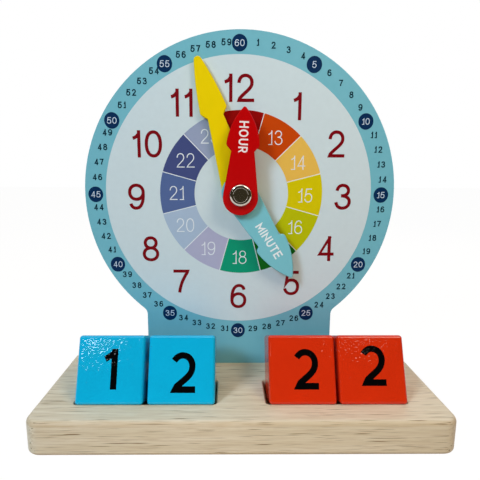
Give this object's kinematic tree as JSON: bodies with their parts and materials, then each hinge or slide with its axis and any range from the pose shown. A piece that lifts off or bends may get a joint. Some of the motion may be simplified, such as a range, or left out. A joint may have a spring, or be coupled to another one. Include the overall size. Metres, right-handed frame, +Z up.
{
  "type": "wooden teaching clock",
  "caption": "Wooden table-top teaching clock: a printed dial on a base, loose arrow hands on one capped pivot, and number blocks that lean in trays to show the time in digits.",
  "frame": {"origin": "centre of the base's underside", "axes": "+Z up, the dial faces -Y, +X to the right as the dial is read"},
  "size_m": [0.244, 0.094, 0.245],
  "materials": {
    "base_wood": "rubberwood, sanded and clear lacquered, satin",
    "board_plywood": "birch plywood, sanded",
    "dial_print": "printed sheet, satin laminate",
    "yellow_paint": "painted wood, satin",
    "sky_paint": "painted wood, satin",
    "crimson_paint": "painted wood, satin",
    "spacer_nylon": "natural nylon",
    "washer_steel": "zinc plated steel",
    "cap_chrome": "polished nickel plate",
    "screw_steel": "zinc plated steel",
    "blue_enamel": "gloss enamel on wood, slight orange peel",
    "red_enamel": "gloss enamel on wood, slight orange peel"
  },
  "bodies": {
    "stand": {"base": "base_wood", "clock_board": "board_plywood", "dial_sheet": "dial_print", "board_spacer": "spacer_nylon", "minute_spacer": "spacer_nylon", "hour_spacer": "spacer_nylon", "front_washer": "washer_steel", "pivot_post": "cap_chrome", "rear_washer": "washer_steel", "pivot_screw": "screw_steel"},
    "second_pointer": {"second_hand": "yellow_paint"},
    "minute_pointer": {"minute_hand": "sky_paint"},
    "hour_pointer": {"hour_hand": "crimson_paint"},
    "hour_tens": {"hour_tens_block": "blue_enamel"},
    "hour_units": {"hour_units_block": "blue_enamel"},
    "minute_tens": {"minute_tens_block": "red_enamel"},
    "minute_units": {"minute_units_block": "red_enamel"}
  },
  "joints": [
    {"name": "second_hand_turn", "type": "hinge", "parent": "stand", "child": "second_pointer", "pos_m": [0, 0.0229, 0.1413], "axis": [0, 1, 0], "continuous": true},
    {"name": "minute_hand_turn", "type": "hinge", "parent": "stand", "child": "minute_pointer", "pos_m": [0, 0.0189, 0.1413], "axis": [0, 1, 0], "continuous": true},
    {"name": "hour_hand_turn", "type": "hinge", "parent": "stand", "child": "hour_pointer", "pos_m": [0, 0.0149, 0.1413], "axis": [0, 1, 0], "continuous": true},
    {"name": "hour_tens_lift", "type": "slide", "parent": "stand", "child": "hour_tens", "axis": [0, -0.7071, 0.7071], "range_m": [0, 0.09]},
    {"name": "hour_units_lift", "type": "slide", "parent": "stand", "child": "hour_units", "axis": [0, -0.7071, 0.7071], "range_m": [0, 0.09]},
    {"name": "minute_tens_lift", "type": "slide", "parent": "stand", "child": "minute_tens", "axis": [0, -0.7071, 0.7071], "range_m": [0, 0.09]},
    {"name": "minute_units_lift", "type": "slide", "parent": "stand", "child": "minute_units", "axis": [0, -0.7071, 0.7071], "range_m": [0, 0.09]}
  ]
}
